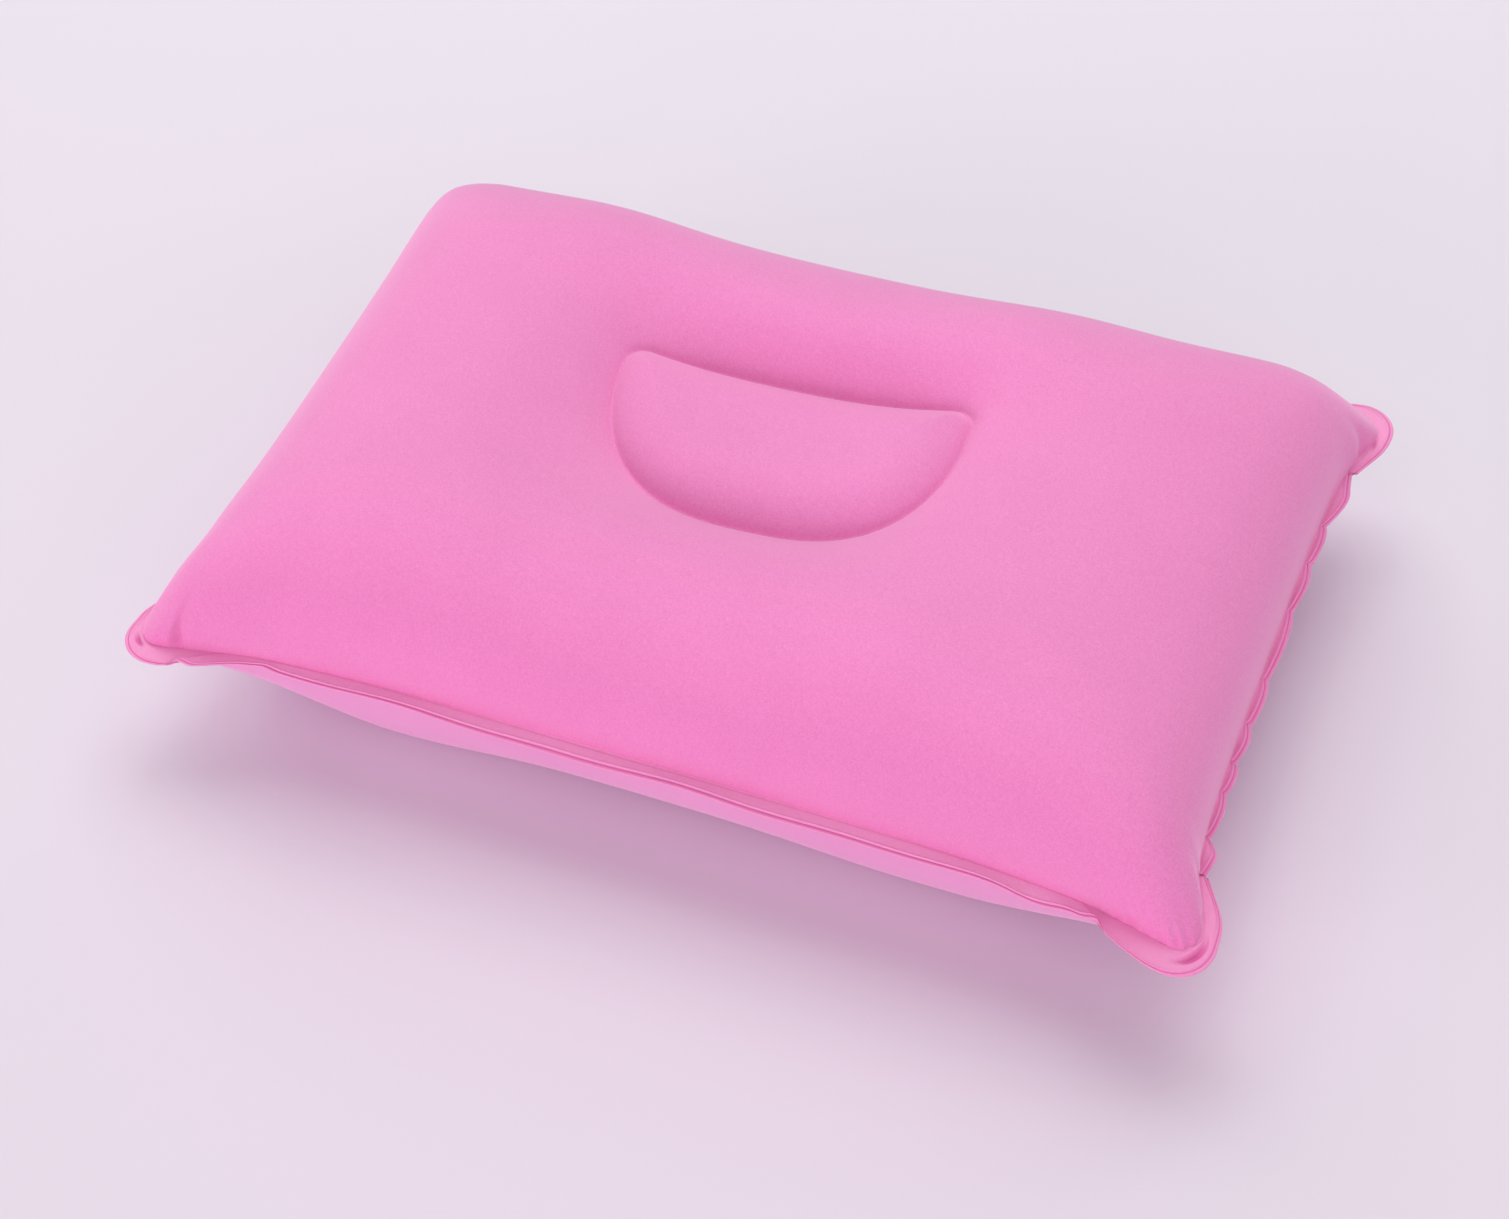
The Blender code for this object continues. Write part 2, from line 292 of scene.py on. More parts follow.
def moon_line(x, y):
    """Where the straight line from the island's middle to each outline point crosses the
    half-moon, found by halving."""
    def along(share):
        """The points at a share of the way from the island's middle to the outline."""
        return (MOON_CENTRE_X + share * (x - MOON_CENTRE_X),
                MOON_MIDDLE_Y + share * (y - MOON_MIDDLE_Y))
    return along(last_inside(lambda share: moon_gap(*along(share)) < 0.0, len(x)))


# ---------------------------------------------------------------- meshes

def mesh_piece(name, points, faces):
    """A mesh object at the origin from arrays of points and of each face's corners."""
    mesh = bpy.data.meshes.new(name)
    mesh.from_pydata(points.tolist(), [], faces.tolist())
    mesh.validate()
    piece = bpy.data.objects.new(name, mesh)
    bpy.context.collection.objects.link(piece)
    return piece


def read_points(mesh):
    """The mesh's points as an array of rows of x, y and z."""
    flat = np.empty(3 * len(mesh.vertices))
    mesh.vertices.foreach_get("co", flat)
    return flat.reshape(-1, 3)


def write_points(mesh, points):
    """Puts an array of rows of x, y and z back into the mesh."""
    mesh.vertices.foreach_set("co", np.ascontiguousarray(points).ravel())
    mesh.update()


def smooth(piece):
    """Shades every face of the piece smooth."""
    mesh = piece.data
    mesh.polygons.foreach_set("use_smooth", np.ones(len(mesh.polygons), bool))
    mesh.update()


def strip_faces(first, second):
    """Quads between two closed rows of point numbers."""
    return np.stack([first, np.roll(first, -1), np.roll(second, -1), second], axis=1)


# plan rings of the film. From the weld and from the half-moon: run, count and power of the
# spacing. Count between the two. Share of the way in from the half-moon of each island ring.
EDGE_RINGS = (27.0 * MM, 13, 2.3)
MOON_RINGS = (17.0 * MM, 8, 1.5)
MIDDLE_RINGS = 11
ISLAND_RINGS = (0.035, 0.08, 0.14, 0.22, 0.32, 0.44, 0.58, 0.74, 0.88)
# half length of the line that the island's rings shrink to, as a share of the half-moon's
ISLAND_LINE = 0.6


def skin_plan():
    """Plan of the film: rings a share of the way from the weld straight in to the
    half-moon, close together at both by a power, then rings shrinking to a line along the
    island's middle, on which the near and the far point of each pair meet."""
    edge_x, edge_y = outline(chamber_gap, SPOKES, corner_density)
    moon_x, moon_y = moon_line(edge_x, edge_y)
    length = np.hypot(edge_x - moon_x, edge_y - moon_y)
    from_edge = EDGE_RINGS[0] * np.linspace(0.0, 1.0, EDGE_RINGS[1]) ** EDGE_RINGS[2]
    from_moon = MOON_RINGS[0] * np.linspace(1.0, 0.0, MOON_RINGS[1]) ** MOON_RINGS[2]
    outer = from_edge[:, None] / length
    inner = 1.0 - from_moon[:, None] / length
    part = np.linspace(0.0, 1.0, MIDDLE_RINGS)[1:-1, None]
    share = np.concatenate([outer, outer[-1] + (inner[0] - outer[-1]) * part, inner])
    ring_x = edge_x + (moon_x - edge_x) * share
    ring_y = edge_y + (moon_y - edge_y) * share
    pair = np.minimum(np.arange(SPOKES), SPOKES - np.arange(SPOKES))
    opposite = moon_x[-np.arange(SPOKES)]
    line_x = MOON_CENTRE_X + 0.5 * ISLAND_LINE * (moon_x + opposite - 2.0 * MOON_CENTRE_X)
    shrink = np.array(ISLAND_RINGS)[:, None]
    island_x = moon_x + (line_x - moon_x) * shrink
    island_y = moon_y + (MOON_MIDDLE_Y - moon_y) * shrink
    x = np.concatenate([ring_x, island_x])
    y = np.concatenate([ring_y, island_y])
    half = SPOKES // 2 + 1
    return x, y, line_x[:half], np.full(half, MOON_MIDDLE_Y), pair, len(share) - 1


def skin_face(x, y, side):
    """One face of the film over plan points: the crown stood on the weld plane, its walls
    pushed out most at half height and less by an exponential in from the weld."""
    height = crown(x, y, side)
    share = np.clip(height / CROWN_HEIGHT, 0.0, 1.0)
    gap = np.maximum(chamber_gap(x, y)[0], 0.0)
    push = SIDE_BULGE * 4.0 * share * (1.0 - share) * np.exp(-gap / SIDE_BULGE_REACH)
    sx, sy = gap_slope(chamber_gap, x, y)
    z = weld_plane(x, y) + side * height
    return np.stack([x - push * sx, y - push * sy, z], axis=-1)


def build_skin():
    """Both films as one closed skin that shares the ring of points along the weld: rows
    of quads between rings, turned over on the lower side so that they face out. Also the
    points along the weld and the half-moon lines, which are held."""
    x, y, line_x, line_y, pair, moon_ring = skin_plan()
    rings = x.shape[0]
    weld = np.stack([x[0], y[0], weld_plane(x[0], y[0])], axis=-1)
    points, faces, pinned = [weld], [], [np.arange(SPOKES)]
    start = SPOKES
    for side in (1.0, -1.0):
        body = skin_face(x[1:], y[1:], side).reshape(-1, 3)
        line = skin_face(line_x, line_y, side)
        points += [body, line]
        number = start + np.arange((rings - 1) * SPOKES).reshape(rings - 1, SPOKES)
        rows = np.concatenate([np.arange(SPOKES)[None], number,
                               (start + number.size + pair)[None]])
        quads = np.concatenate([strip_faces(a, b) for a, b in zip(rows[:-1], rows[1:])])
        faces.append(quads if side > 0 else quads[:, ::-1])
        pinned.append(rows[moon_ring])
        start += body.shape[0] + line.shape[0]
    skin = mesh_piece("pillow_skin", np.concatenate(points), np.concatenate(faces))
    return skin, np.concatenate(pinned)


# most that blowing up may move a point, the run over which that fades to nothing at the
# half-moon, and the frames that the film is given to settle
BLOWN_CAP = 1.2 * MM
BLOWN_FADE = 20.0 * MM
BLOWN_FRAMES = 20


def blow_up(skin, pinned):
    """Fills the skin by cloth simulation, held along the welds, then shortens each
    point's move to the cap times an s-curve of its distance from the half-moon."""
    start = read_points(skin.data)
    group = skin.vertex_groups.new(name="welds")
    group.add(pinned.tolist(), 1.0, "REPLACE")
    cloth = skin.modifiers.new("film", "CLOTH")
    film = cloth.settings
    film.quality = 6
    film.mass = 0.3
    film.tension_stiffness = 40.0
    film.compression_stiffness = 40.0
    film.shear_stiffness = 20.0
    film.bending_stiffness = 2.0
    film.use_pressure = True
    film.uniform_pressure_force = 4.0
    film.vertex_group_mass = "welds"
    film.effector_weights.gravity = 0.0
    cloth.collision_settings.use_collision = False
    cloth.collision_settings.use_self_collision = False
    cloth.point_cache.frame_start = 1
    cloth.point_cache.frame_end = BLOWN_FRAMES
    scene = bpy.context.scene
    for frame_number in range(1, BLOWN_FRAMES + 1):
        scene.frame_set(frame_number)
    blown = skin.evaluated_get(bpy.context.evaluated_depsgraph_get())
    end = read_points(blown.data)
    skin.modifiers.remove(cloth)
    scene.frame_set(1)
    skin.vertex_groups.clear()
    move = end - start
    cap = BLOWN_CAP * s_curve(moon_gap(start[:, :1], start[:, 1:2]) / BLOWN_FADE)
    length = np.linalg.norm(move, axis=1, keepdims=True)
    write_points(skin.data, start + move * np.minimum(1.0, cap / np.maximum(length, 1e-9)))


def subdivided(piece):
    """Replaces the mesh with its own one-step subdivision."""
    finer = piece.modifiers.new("finer", "SUBSURF")
    finer.levels = 1
    finer.render_levels = 1
    graph = bpy.context.evaluated_depsgraph_get()
    mesh = bpy.data.meshes.new_from_object(piece.evaluated_get(graph))
    old = piece.data
    mesh.name = old.name + "_fine"
    piece.modifiers.clear()
    piece.data = mesh
    bpy.data.meshes.remove(old)


# folds pressed into the walls by the weld: point the fold fans out from, angle, depth,
# width and height up the wall
WALL_FOLDS = (
    ((-172.0 * MM, -96.0 * MM), -2.13, 3.0 * MM, 1.7 * MM, 7.0 * MM),
    ((-172.0 * MM, -96.0 * MM), -2.62, 1.2 * MM, 2.5 * MM, 5.0 * MM),
    ((172.0 * MM, -96.0 * MM), -0.32, 1.6 * MM, 2.4 * MM, 5.0 * MM),
    ((172.0 * MM, 96.0 * MM), 0.42, 1.5 * MM, 2.5 * MM, 6.0 * MM),
    ((-172.0 * MM, 96.0 * MM), 2.7, 1.5 * MM, 2.5 * MM, 6.0 * MM),
)
# gathers along the weld: point they fan out from, middle angle, half turn, depth, beats
# in each radian of turn
GATHERS = (
    ((172.0 * MM, -96.0 * MM), -0.82, 0.62, 1.4 * MM, 62),
    ((-172.0 * MM, -96.0 * MM), -2.35, 0.5, 0.35 * MM, 50),
    ((172.0 * MM, 96.0 * MM), 0.75, 0.6, 0.5 * MM, 52),
    ((-172.0 * MM, 96.0 * MM), 2.4, 0.6, 0.5 * MM, 52),
)
# height up the wall of the gathers, and how far out from its point a fan begins
GATHER_REACH = 2.4 * MM
FAN_FROM = 15.0 * MM


def turned(x, y, centre, middle):
    """Angle about a centre from a middle direction, between minus pi and pi."""
    turn = np.arctan2(y - centre[1], x - centre[0]) - middle
    return (turn + np.pi) % (2.0 * np.pi) - np.pi


def pucker(points):
    """Draws the walls straight in along folds and gathers. A fold is a bell round its
    angle. Gathers are a raised cosine of the angle, its beat and its size varied by slow
    sines, within a flat-topped bell. Both go up the wall as the height times e to one less
    the height, in reaches, so that they are nothing at the weld."""
    x, y, z = points.T
    height = np.abs(z - weld_plane(x, y))
    pull = np.zeros_like(x)
    for centre, middle, depth, width, reach in WALL_FOLDS:
        turn = turned(x, y, centre, middle)
        out = np.hypot(x - centre[0], y - centre[1])
        fold = bell(turn * out, 0.0, width) * (out > FAN_FROM)
        pull = pull + depth * fold * (height / reach) * np.exp(1.0 - height / reach)
    for centre, middle, half_turn, depth, count in GATHERS:
        turn = turned(x, y, centre, middle)
        out = np.hypot(x - centre[0], y - centre[1])
        fade = np.exp(-(turn / half_turn) ** 4) * (out > FAN_FROM)
        beat = 0.5 + 0.5 * np.cos(count * turn + 1.7 * np.sin(9.0 * turn))
        beat = beat * (0.65 + 0.35 * np.sin(17.0 * turn + 1.0))
        reach = GATHER_REACH
        pull = pull + depth * fade * beat * (height / reach) * np.exp(1.0 - height / reach)
    sx, sy = gap_slope(chamber_gap, x, y)
    return points + np.stack([pull * sx, pull * sy, np.zeros_like(x)], axis=1)


def rest_on_surface(points):
    """Presses what hangs low against the surface: below a soft margin the height is the
    margin times e to the power of how far below it is, in margins, so never under zero."""
    soft = 1.2 * MM
    z = points[:, 2]
    low = soft * np.exp(np.minimum(z - soft, 0.0) / soft)
    points[:, 2] = np.where(z < soft, low, z)
    return points


# ---------------------------------------------------------------- welded rim

# scallops along the right and the left end: their lengths from the near side to the far,
# and where the first begins
LOBES_RIGHT = np.array([17, 20, 14, 19, 21, 35, 26, 19, 31]) * MM
LOBES_LEFT = np.array([24, 18, 31, 19, 27, 16, 22, 28, 17]) * MM
LOBES_FROM = -101.0 * MM
# in millimetres: how far the cusps are drawn in, how far the scallops beside the ears are
# let out, and how far a scallop curls along its length, arches up and sits down
CUSP_DRAW, EAR_LOBE_BULGE = 2.6, 2.8
LOBE_CURL, LOBE_ARCH, LOBE_SIT = 1.3, 1.4, 0.7
# what counts as an end and as a long side, measured out from the middle
END_FROM, SIDE_FROM = 180.0 * MM, 112.0 * MM
# the long sides wave in and out over most of their length, and up and down
SIDE_WAVE_RUN = 185.0 * MM
SIDE_WAVE_LIFT = (0.7 * MM, 21.0 * MM, 0.6)

# where the long edges are nipped in, or let out: place along, side, depth and half width
EDGE_NOTCHES = (
    (-192.0 * MM, -1.0, 2.0 * MM, 3.2 * MM),
    (-160.0 * MM, -1.0, 0.7 * MM, 4.0 * MM),
    (154.0 * MM, -1.0, -1.9 * MM, 13.0 * MM),
    (176.0 * MM, -1.0, 1.8 * MM, 3.2 * MM),
    (-176.0 * MM, 1.0, 1.6 * MM, 3.2 * MM),
    (184.0 * MM, 1.0, 1.8 * MM, 3.5 * MM),
    (62.0 * MM, 1.0, 0.8 * MM, 4.0 * MM),
)
# share of a notch's depth by which it also lifts the edge
NOTCH_LIFT = 0.6
# from how far out the ends' edge has more points, and how much closer they are
CLOSE_FROM, END_CLOSENESS = 170.0 * MM, 1.8


def lobe_phase(y, lengths):
    """Which scallop a point on a short side is in, and how far along it, from zero at one
    cusp to one at the next: the distance past its first cusp over its length."""
    edges = LOBES_FROM + np.concatenate([[0.0], np.cumsum(lengths)])
    which = np.clip(np.searchsorted(edges, y) - 1, 0, len(lengths) - 1)
    phase = (y - edges[which]) / np.take(lengths, which)
    inside = (y > edges[0]) & (y < edges[-1])
    return which, np.clip(phase, 0.0, 1.0), inside


def end_density(x, y):
    """How closely points are set: nearly twice as close toward the ends, for the
    scallops."""
    return np.where(np.abs(x) > CLOSE_FROM, END_CLOSENESS, 1.0)


def rim_edge():
    """Outer edge of the rim and its lift. The ends are drawn in by one less the 0.6th
    power of a half sine of each scallop, let out beside the ears by a half sine, and
    lifted by a whole sine and that power. The long sides wave by sines within a
    flat-topped bell. The notches are bells."""
    x, y = outline(rim_gap, RIM_STEPS, end_density)
    sx, sy = gap_slope(rim_gap, x, y)
    lift = np.zeros_like(x)
    draw = np.zeros_like(x)
    for side, lengths in ((1.0, LOBES_RIGHT), (-1.0, LOBES_LEFT)):
        which, phase, inside = lobe_phase(y, lengths)
        here = inside & (x * side > END_FROM)
        arch = np.sin(np.pi * phase) ** 0.6
        size = 0.75 + 0.25 * np.sin(2.3 * which + side)
        at_ear = (which == 0) | (which == len(lengths) - 1)
        reach = CUSP_DRAW * (1.0 - arch) * size
        reach = reach - EAR_LOBE_BULGE * np.sin(np.pi * phase) * at_ear
        draw = np.where(here, reach * MM, draw)
        wave = LOBE_CURL * np.sin(2.0 * np.pi * phase) + LOBE_ARCH * arch - LOBE_SIT
        lift = np.where(here, size * MM * wave, lift)
    along = np.abs(y) > SIDE_FROM
    wave = 0.3 * np.sin(x / (9.5 * MM)) + 0.25 * np.sin(x / (15.7 * MM) + 1.3)
    middle = np.exp(-(x / SIDE_WAVE_RUN) ** 8)
    draw = np.where(along, wave * middle * MM, draw)
    height, length, phase = SIDE_WAVE_LIFT
    lift = np.where(along, height * np.sin(x / length + phase) * middle, lift)
    for place, side, depth, spread in EDGE_NOTCHES:
        notch = depth * bell(x, place, spread) * (y * side > 100.0 * MM)
        draw = draw + notch
        lift = lift + NOTCH_LIFT * notch
    return x + draw * sx, y + draw * sy, lift


# creases pressed into the ears along arcs: centre, radius, middle angle, half turn, depth,
# width
EAR_CREASES = (
    ((203.7 * MM, -126.9 * MM), 10.6 * MM, -0.61, 0.96, 1.8 * MM, 1.4 * MM),
    ((-204.0 * MM, -126.0 * MM), 10.5 * MM, -2.35, 0.45, 1.3 * MM, 1.1 * MM),
    ((192.0 * MM, 114.0 * MM), 17.5 * MM, 0.55, 0.55, 1.4 * MM, 1.5 * MM),
    ((-194.0 * MM, 114.0 * MM), 18.5 * MM, 2.45, 0.5, 1.4 * MM, 1.6 * MM),
)
# the bank inside a crease: height as a share of the depth, distance in and width in widths
CREASE_BANK = (0.55, 1.5, 0.6)


def ear_crease(x, y):
    """How far the ears' surface is pressed down by their creases, and how deep in a
    crease each point is. Along the arc a crease is one less the square of the turn, across
    it a flat-topped bell that narrows toward the ends, with a bell for its inner bank."""
    rise, inward, spread = CREASE_BANK
    drop = np.zeros_like(x)
    shade = np.zeros_like(x)
    for centre, radius, middle, half_turn, depth, width in EAR_CREASES:
        out = np.hypot(x - centre[0], y - centre[1]) - radius
        turn = turned(x, y, centre, middle)
        lens = np.clip(1.0 - (turn / half_turn) ** 2, 0.0, 1.0)
        wide = width * (0.25 + 0.75 * lens)
        trough = lens * np.exp(-(out / wide) ** 4)
        bank = lens * bell(out, -inward * wide, spread * wide)
        drop = drop + depth * (trough - rise * bank)
        shade = np.maximum(shade, trough)
    return drop, shade


# across the rim, in millimetres in from its outer edge: the first rows of points, and then
# the count of rows over what is left of the width
EDGE_ROWS = np.array([0.0, 0.12, 0.35, 0.65, 0.95, 1.2, 1.45, 1.7, 2.0, 2.3, 2.7, 3.2])
INNER_ROWS = 18
# how far the rim reaches in past the chamber's outline, in metres
TUCK = 0.9 * MM
# half thickness, the run over which the edge rounds up to it, and the least it may be
RIM_HALF_THICKNESS, EDGE_ROUNDING, EDGE_LEAST = 0.42, 0.4, 0.06
# melted bead, groove beside it, and seam along the chamber: height, place and width. The
# seam's place is measured out from the chamber. The run over which they begin at the edge.
BEAD = (0.55, 2.3, 0.5)
GROOVE = (0.3, 1.45, 0.28)
SEAM = (0.25, 1.6, 0.5)
RELIEF_RUN = 0.6
# creases begin this far in from the edge, over a run, and end over a run at the chamber
CREASE_FROM, CREASE_RUN, CREASE_END = 2.4, 0.8, 2.0
# how deep a pink is painted on the rim: fully in a line at the groove, by place and width, less
# in a line at the very edge, by strength, place and width, and over the ends, as painted shade
# from the chamber's wall, by strength, start and run
GROOVE_SHADE = (1.45, 0.32)
EDGE_SHADE = (0.55, 0.5, 0.6)
END_SHADE = (0.4, 150.0 * MM, 30.0 * MM)


def rim_plan():
    """Plan of the rim: rows of points on straight lines from its outer edge in to where
    they meet the chamber, with their share of the way out, the distance in from the edge
    and the width of the rim in millimetres, and the edge's lift."""
    outer_x, outer_y, lift = rim_edge()
    near = last_inside(lambda r: chamber_gap(outer_x * r, outer_y * r)[0] > TUCK, RIM_STEPS)
    inner_x, inner_y = outer_x * near, outer_y * near
    width = np.hypot(outer_x - inner_x, outer_y - inner_y)
    edge = EDGE_ROWS * MM
    rest = np.linspace(0.0, 1.0, INNER_ROWS + 1)[1:, None]
    from_edge = np.concatenate([np.repeat(edge[:, None], len(width), axis=1),
                                edge[-1] + (width - edge[-1]) * rest])
    share = 1.0 - from_edge / width
    x = inner_x + (outer_x - inner_x) * share
    y = inner_y + (outer_y - inner_y) * share
    return x, y, share, from_edge / MM, width / MM, lift


def rim_stand(e, width):
    """How far each face stands off the rim's middle, at a distance in from the edge: a
    quarter circle up to the half thickness, a bell for the bead, less bells for the groove
    and the seam."""
    left = 1.0 - np.clip(e / EDGE_ROUNDING, 0, 1)
    half = RIM_HALF_THICKNESS * np.sqrt(np.clip(1.0 - left ** 2, 0, 1)) + EDGE_LEAST
    bead = BEAD[0] * bell(e, *BEAD[1:]) - GROOVE[0] * bell(e, *GROOVE[1:])
    seam = -SEAM[0] * bell(e - width, -SEAM[1], SEAM[2])
    return (half + (bead + seam) * np.clip(e / RELIEF_RUN, 0.0, 1.0)) * MM


def build_rim():
    """The flat margin as a thin closed band. Its middle is the weld plane plus the edge's
    lift times the 1.5th power of the share of the way out, less the ears' creases, and its
    two faces stand off that. The deeper pink painted on it is the largest of bells at the
    groove and the edge, painted shade in the ears' creases, and painted shade from the
    chamber's wall as an s-curve toward the ends."""
    x, y, share, e, width, lift = rim_plan()
    stand = rim_stand(e, width)
    middle_z = weld_plane(x, y) + lift * np.clip(share, 0, 1) ** 1.5
    press, crease = ear_crease(x, y)
    inside = np.clip((e - CREASE_FROM) / CREASE_RUN, 0, 1)
    inside = inside * np.clip((width - e) / CREASE_END, 0, 1)
    fold = -press * inside
    top = np.stack([x, y, middle_z + fold + stand], axis=-1)
    bottom = np.stack([x, y, middle_z + fold - stand], axis=-1)
    rows = np.concatenate([top[::-1], bottom])
    count = rows.shape[0]
    number = np.arange(rows.shape[0] * rows.shape[1]).reshape(count, -1)
    quads = [strip_faces(number[k], number[(k + 1) % count]) for k in range(count)]
    faces = np.concatenate(quads)[:, ::-1]
    rim = mesh_piece("pillow_rim", rows.reshape(-1, 3), faces)
    # deeper pink: thin lines at the groove and the edge, painted shade in the creases, and
    # painted shade from the chamber's wall toward the ends
    groove = bell(e, *GROOVE_SHADE) + EDGE_SHADE[0] * bell(e, *EDGE_SHADE[1:])
    groove = np.maximum(np.clip(groove, 0.0, 1.0), crease * inside)
    strength, start, run = END_SHADE
    groove = np.maximum(groove, strength * s_curve((np.abs(x) - start) / run))
    shade = rim.data.attributes.new("groove", "FLOAT", "POINT")
    shade.data.foreach_set("value", np.concatenate([groove[::-1], groove]).ravel())
    return rim


# ---------------------------------------------------------------- materials

def linear(code):
    """A hex sRGB colour as linear light: up to 0.04045 a value over 12.92, above that the
    2.4th power of the value plus 0.055 over 1.055."""
    value = np.array([int(code[i:i + 2], 16) for i in (1, 3, 5)]) / 255.0
    value = np.where(value <= 0.04045, value / 12.92, ((value + 0.055) / 1.055) ** 2.4)
    return (*value.tolist(), 1.0)


def add(tree, kind, values, links=(), **settings):
    """Adds a node, sets its properties and its sockets' values, and links other nodes'
    outputs into it, each given as a node, its output and the socket."""
    node = tree.nodes.new(kind)
    for name, value in settings.items():
        setattr(node, name, value)
    for socket, value in values.items():
        node.inputs[socket].default_value = value
    for source, output, socket in links:
        tree.links.new(source.outputs[output], node.inputs[socket])
    return node


def new_material(name, values):
    """A material, its node tree and its shader, with the values that are the same all
    over the surface set on the shader's own sockets."""
    material = bpy.data.materials.new(name)
    material.use_nodes = True
    tree = material.node_tree
    shader = tree.nodes["Principled BSDF"]
    for socket, value in values.items():
        shader.inputs[socket].default_value = value
    return material, tree, shader


# sockets of the colour mix node
MIX_SHARE, MIX_FIRST, MIX_SECOND, MIX_RESULT = 0, 6, 7, 2

# sizes of what a surface shows: pile of the flock, drawn coarser than real fibres so that it
# shows at all; patches in which the pile leans one way; crushed pile; depth of the pile
PILE_SIZE = 0.7 * MM
PATCH_SIZE = 34.0 * MM
CRUSH_SIZE = 1.4 * MM
PILE_DEPTH = 0.2 * MM


def flocked_pvc():
    """PVC film with short nylon fibres glued on: matte and velvety, the fibre tips whitening it
    where it is seen edge on; a fine pile, with faint patches where the pile leans. The pigment
    is a bright pink that throws back nearly all the red. The film of the underside, below the
    weld, is painted a little paler: painted light, standing in for the light that the floor
    throws up onto it."""
    material, tree, shader = new_material("flocked_pvc_film", {
        "Roughness": 0.95, "Specular IOR Level": 0.2, "Sheen Weight": 0.7,
        "Sheen Roughness": 0.45, "Sheen Tint": linear("#FFE4F3")})
    place = add(tree, "ShaderNodeTexCoord", {})
    pile = add(tree, "ShaderNodeTexNoise", {"Scale": 1.0 / PILE_SIZE, "Detail": 2.0},
               [(place, "Object", "Vector")])
    patch = add(tree, "ShaderNodeTexNoise", {"Scale": 1.0 / PATCH_SIZE, "Detail": 3.0},
                [(place, "Object", "Vector")])
    pile_colour = add(tree, "ShaderNodeMix",
                      {MIX_FIRST: linear("#E47DBB"), MIX_SECOND: linear("#FAA9D9")},
                      [(pile, "Fac", MIX_SHARE)], data_type="RGBA")
    height = add(tree, "ShaderNodeSeparateXYZ", {}, [(place, "Object", "Vector")])
    # below the weld the film is painted paler: painted light from the floor beneath
    under = add(tree, "ShaderNodeMath", {1: WELD_HEIGHT}, [(height, "Z", 0)],
                operation="LESS_THAN")
    film_colour = add(tree, "ShaderNodeMix", {MIX_SECOND: linear("#EAA8D4")},
                      [(under, "Value", MIX_SHARE), (pile_colour, MIX_RESULT, MIX_FIRST)],
                      data_type="RGBA")
    patch_colour = add(tree, "ShaderNodeMix",
                       {MIX_FIRST: linear("#F8F4F7"), MIX_SECOND: linear("#FFFFFF")},
                       [(patch, "Fac", MIX_SHARE)], data_type="RGBA")
    colour = add(tree, "ShaderNodeMix", {MIX_SHARE: 1.0},
                 [(film_colour, MIX_RESULT, MIX_FIRST), (patch_colour, MIX_RESULT, MIX_SECOND)],
                 data_type="RGBA", blend_type="MULTIPLY")
    bump = add(tree, "ShaderNodeBump", {"Strength": 0.25, "Distance": PILE_DEPTH},
               [(pile, "Fac", "Height")])
    tree.links.new(colour.outputs[MIX_RESULT], shader.inputs["Base Color"])
    tree.links.new(bump.outputs["Normal"], shader.inputs["Normal"])
    return material


def welded_pvc():
    """The same film melted flat between the welding bars: the pile is crushed, so it is
    smoother. It is paler, partly for the crushed pile and partly as painted light on the band
    beside the chamber's wall. A deeper pink is painted in thin lines at the groove and at the
    edge, and as painted shade in the ears' creases and over the ends."""
    material, tree, shader = new_material("welded_pvc_margin", {
        "Roughness": 0.6, "Specular IOR Level": 0.4, "Sheen Weight": 0.2})
    place = add(tree, "ShaderNodeTexCoord", {})
    crush = add(tree, "ShaderNodeTexNoise", {"Scale": 1.0 / CRUSH_SIZE, "Detail": 4.0},
                [(place, "Object", "Vector")])
    # pale pink of the band: partly the crushed pile, partly painted light on the band beside
    # the chamber's wall
    crushed = add(tree, "ShaderNodeMix",
                  {MIX_FIRST: linear("#F8B0DA"), MIX_SECOND: linear("#FFC0E4")},
                  [(crush, "Fac", MIX_SHARE)], data_type="RGBA")
    # deeper pink from the groove attribute, which holds thin lines plus painted shade in the
    # creases and over the ends
    groove = add(tree, "ShaderNodeAttribute", {}, attribute_name="groove")
    colour = add(tree, "ShaderNodeMix", {MIX_SECOND: linear("#E064AC")},
                 [(groove, "Fac", MIX_SHARE), (crushed, MIX_RESULT, MIX_FIRST)],
                 data_type="RGBA")
    bump = add(tree, "ShaderNodeBump", {"Strength": 0.4, "Distance": PILE_DEPTH},
               [(crush, "Fac", "Height")])
    tree.links.new(colour.outputs[MIX_RESULT], shader.inputs["Base Color"])
    tree.links.new(bump.outputs["Normal"], shader.inputs["Normal"])
    return material


def backdrop_paper():
    """Uncoated paper, pale and matte, with no texture that shows at this distance."""
    return new_material("studio_paper", {
        "Base Color": linear("#E4E5EA"), "Roughness": 0.9, "Specular IOR Level": 0.1})[0]


# ---------------------------------------------------------------- the object

skin, welds = build_skin()
blow_up(skin, welds)
subdivided(skin)
write_points(skin.data, rest_on_surface(pucker(read_points(skin.data))))
smooth(skin)
skin.data.materials.append(flocked_pvc())
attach(skin, "root")
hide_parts("air_chamber")

rim = build_rim()
smooth(rim)
rim.data.materials.append(welded_pvc())
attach(rim, "root")
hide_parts("welded_rim")


# ---------------------------------------------------------------- floor, light, camera

# half the floor's width
FLOOR_HALF = 6.0
floor_points = np.array([(-1, -1, 0), (1, -1, 0), (1, 1, 0), (-1, 1, 0)]) * FLOOR_HALF
floor = mesh_piece("floor", floor_points, np.array([[0, 1, 2, 3]]))
floor.data.materials.append(backdrop_paper())


# how far off the soft boxes stand, and how wide they are
SOFT_BOX_DISTANCE = 2.4
SOFT_BOX_WIDTH = 1.5
WHITE, BLUSH = "#FFFFFF", "#FFCFEE"
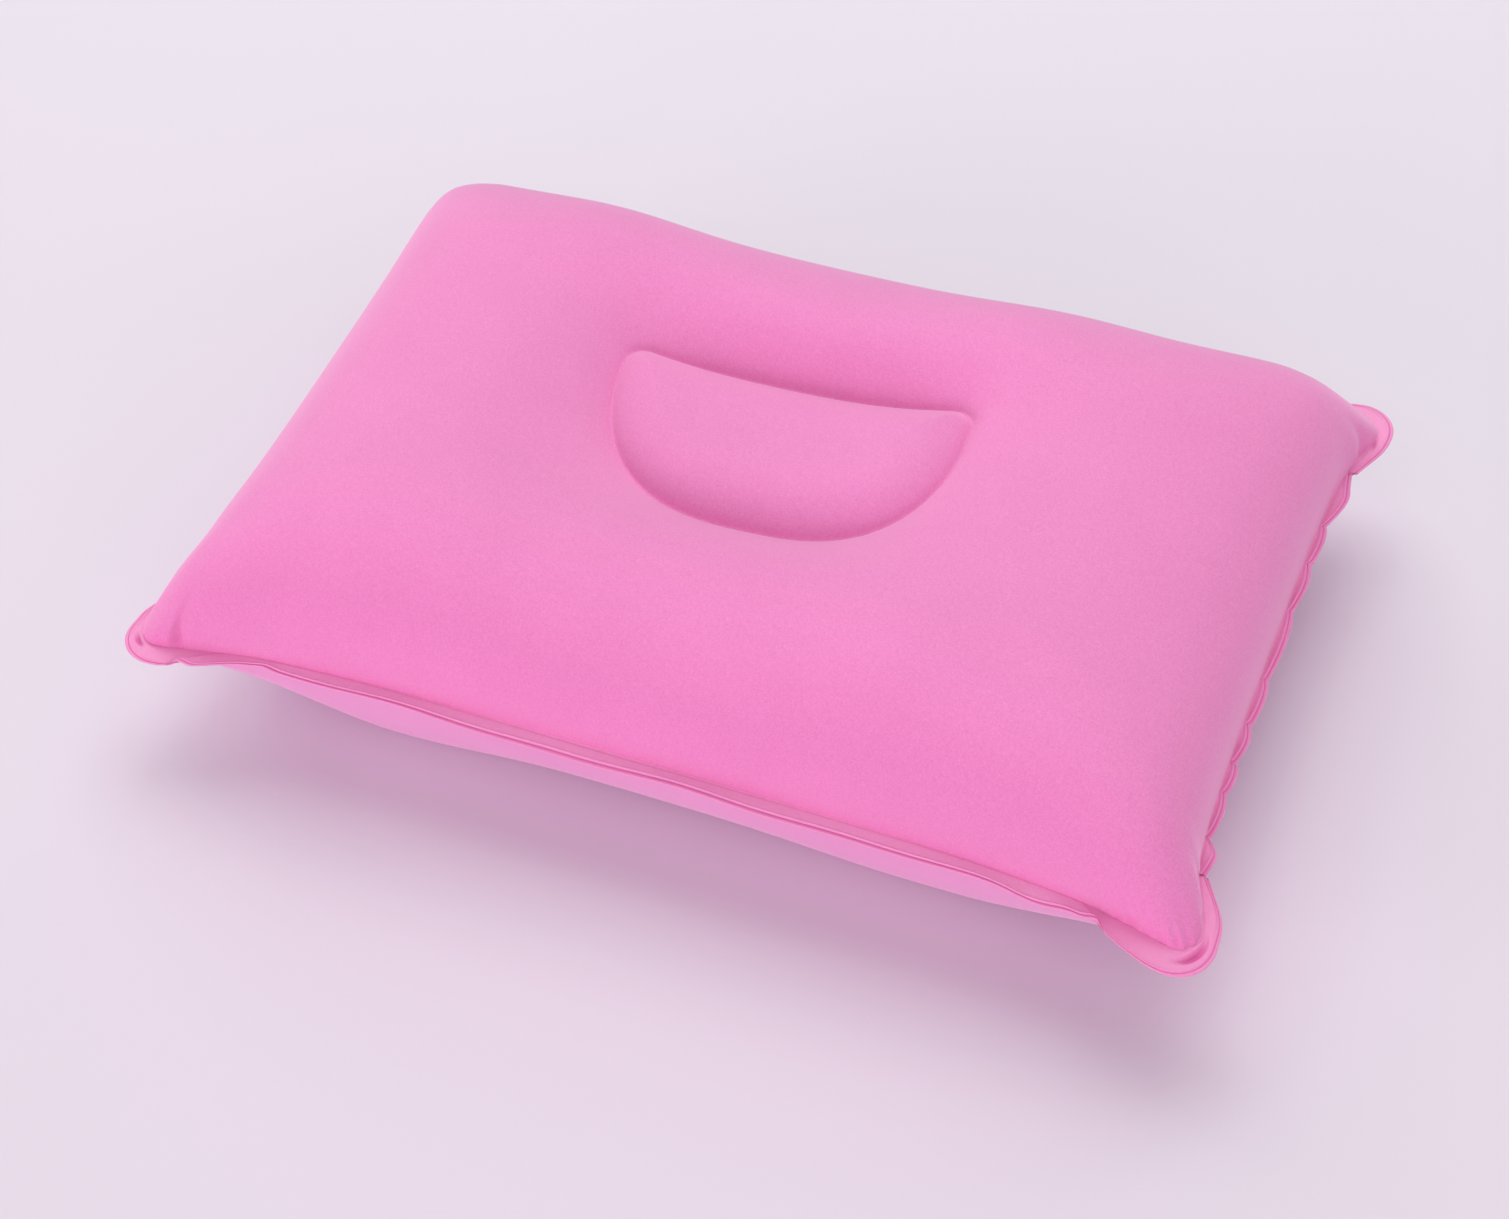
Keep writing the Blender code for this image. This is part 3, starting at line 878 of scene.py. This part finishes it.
# soft boxes all round a light tent: angle round from +X, angle up, watts and colour; the
# low ones are light thrown back by a pale pink surround
SOFT_BOXES = (
    (90, 62, 11.6, WHITE), (135, 62, 11.0, WHITE), (45, 62, 5.8, WHITE),
    (270, 62, 3.9, WHITE), (135, 35, 9.2, WHITE), (90, 35, 5.7, WHITE),
    (315, 35, 5.4, WHITE), (0, 35, 4.4, BLUSH),
    (225, 12, 21.5, BLUSH), (270, 12, 12.5, BLUSH), (315, 12, 7.3, BLUSH),
)


def soft_box(name, azimuth, elevation, power, colour):
    """A round lamp that faces the pillow from a distance, placed by its angle round from
    +X and up from the floor in degrees. Its back is the unit vector at those angles."""
    turn, rise = np.radians(azimuth), np.radians(elevation)
    back = np.array([np.cos(rise) * np.cos(turn), np.cos(rise) * np.sin(turn), np.sin(rise)])
    lamp = bpy.data.lights.new(name, "AREA")
    lamp.shape = "DISK"
    lamp.size = SOFT_BOX_WIDTH
    lamp.energy = power
    lamp.color = linear(colour)[:3]
    right = np.cross((0.0, 0.0, 1.0), back)
    right /= np.linalg.norm(right)
    axes = np.stack([right, np.cross(back, right), back], axis=1)
    item = bpy.data.objects.new(name, lamp)
    place = Matrix.Translation((back * SOFT_BOX_DISTANCE).tolist())
    item.matrix_world = place @ Matrix(axes.tolist()).to_4x4()
    bpy.context.collection.objects.link(item)


for box, setting in enumerate(SOFT_BOXES):
    soft_box(f"soft_box_{box}", *setting)

# the tent's own glow
world = bpy.data.worlds.new("studio")
world.use_nodes = True
glow = world.node_tree.nodes["Background"]
glow.inputs["Color"].default_value = linear("#FFEDF9")
glow.inputs["Strength"].default_value = 0.235
bpy.context.scene.world = world
bpy.context.scene.view_settings.view_transform = "Standard"

# where the camera stands, its own three directions, its sensor's width in millimetres, and
# its lens: focal length over frame width, times the sensor
CAMERA_PLACE = (0.3343, -0.6570, 0.8955)
CAMERA_RIGHT = (0.92171, 0.38012, -0.07718)
CAMERA_UP = (-0.24926, 0.73293, 0.63300)
CAMERA_BACK = (0.29718, -0.56421, 0.77030)
CAMERA_SENSOR = 36.0
CAMERA_LENS = 2847.0 * CAMERA_SENSOR / 1509.0
camera_data = bpy.data.cameras.new("camera")
camera_data.sensor_width = CAMERA_SENSOR
camera_data.lens = CAMERA_LENS
camera = bpy.data.objects.new("camera", camera_data)
view = Matrix(np.stack([CAMERA_RIGHT, CAMERA_UP, CAMERA_BACK], axis=1).tolist()).to_4x4()
camera.matrix_world = Matrix.Translation(CAMERA_PLACE) @ view
bpy.context.collection.objects.link(camera)
bpy.context.scene.camera = camera
